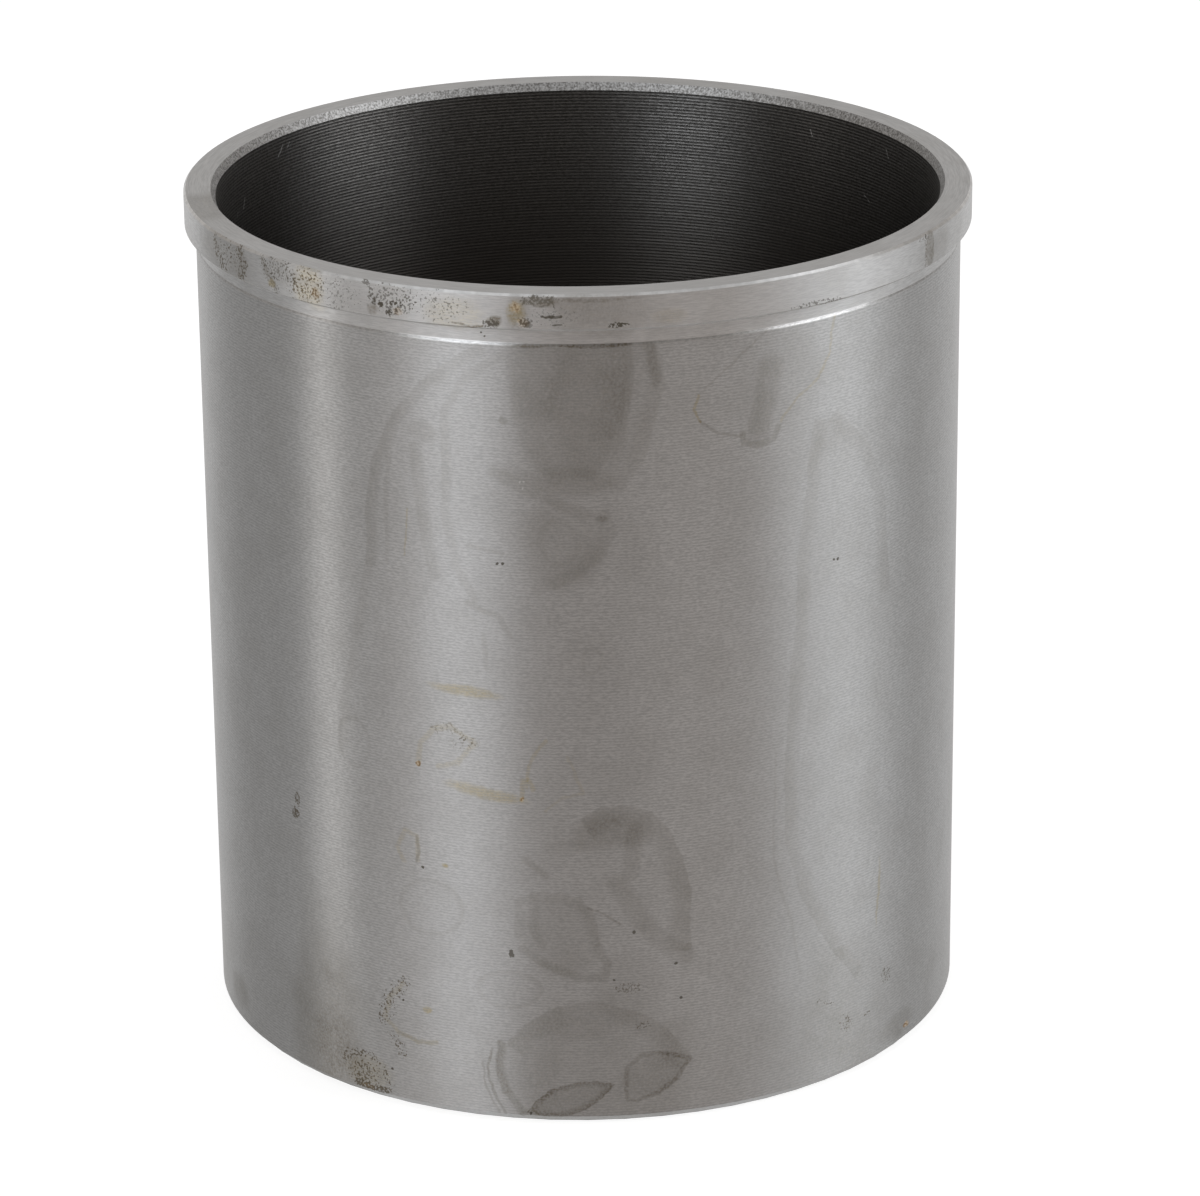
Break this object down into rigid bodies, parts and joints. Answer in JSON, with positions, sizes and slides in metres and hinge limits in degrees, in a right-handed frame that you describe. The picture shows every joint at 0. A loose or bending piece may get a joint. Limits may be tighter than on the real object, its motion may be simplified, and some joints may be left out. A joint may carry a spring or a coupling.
{
  "type": "cylinder liner",
  "caption": "Thin-walled flanged dry cylinder liner: a turned cast-iron sleeve, pressed into an engine block as the bore that a piston runs in.",
  "frame": {"origin": "middle of the lower end, on the bore's axis", "axes": "+Z along the bore's axis, from the lower end up to the flange; X and Y are free, because the part is round"},
  "size_m": [0.108, 0.108, 0.118],
  "materials": {
    "cast_iron": "ground outside, rough bored inside"
  },
  "bodies": {
    "root": {"cylinder_liner": "cast_iron"}
  },
  "joints": []
}
